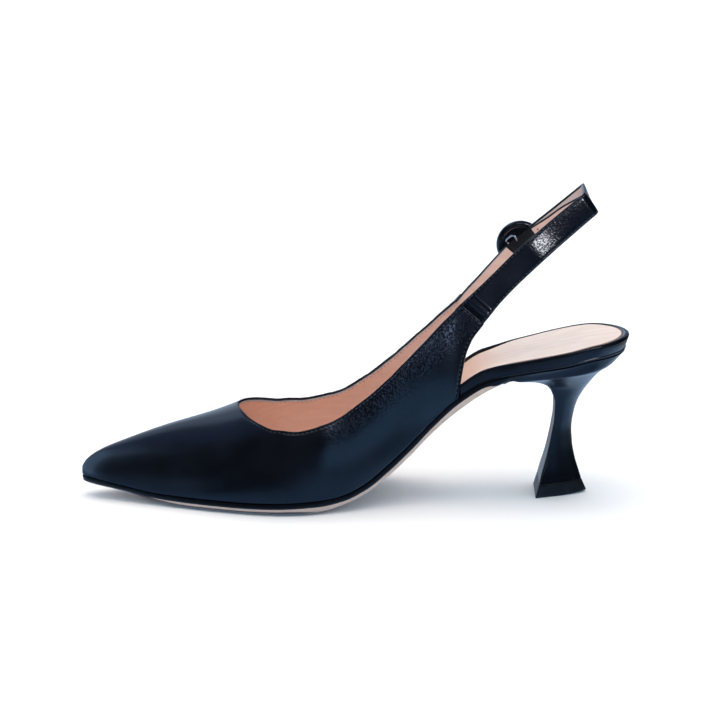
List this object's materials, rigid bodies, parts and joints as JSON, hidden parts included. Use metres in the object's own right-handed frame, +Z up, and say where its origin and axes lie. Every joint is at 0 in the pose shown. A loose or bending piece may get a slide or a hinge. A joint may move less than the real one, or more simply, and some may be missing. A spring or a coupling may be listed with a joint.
{
  "type": "slingback pump",
  "caption": "Right-foot slingback pump with a pointed toe, low-cut vamp, flared mid-height heel and a heel strap closed by a round button.",
  "frame": {"origin": "on the floor, below the middle of the shoe's bounding box", "axes": "+Z up, -X towards the toe, +X towards the heel, -Y towards the inner (medial) side of the foot"},
  "size_m": [0.2506, 0.0764, 0.1424],
  "materials": {
    "upper_leather": "smooth black calf with a soft gloss and fine grain",
    "rim_leather": "smooth black calf wrapped over the board",
    "heel_leather": "smooth black calf stretched over the heel",
    "strap_leather": "glossy black calf with fine grain, stitched along its edges",
    "sole_leather": "natural leather with a black polished edge",
    "sock_leather": "pale peach leather, matt",
    "strip_lining": "peach lining leather, matt",
    "lift_rubber": "black, satin",
    "elastic": "black woven elastic",
    "button_horn": "polished black",
    "hook_metal": "polished"
  },
  "bodies": {
    "root": {"outsole": "sole_leather", "insole_board": "rim_leather", "insole": "sock_leather", "upper": "upper_leather", "heel": "heel_leather", "top_lift": "lift_rubber", "sling_strap": "strap_leather", "fastening_strap": "strap_leather", "inner_strip": "strip_lining", "elastic_tab": "elastic", "button": "button_horn", "button_hook": "hook_metal"}
  },
  "joints": []
}
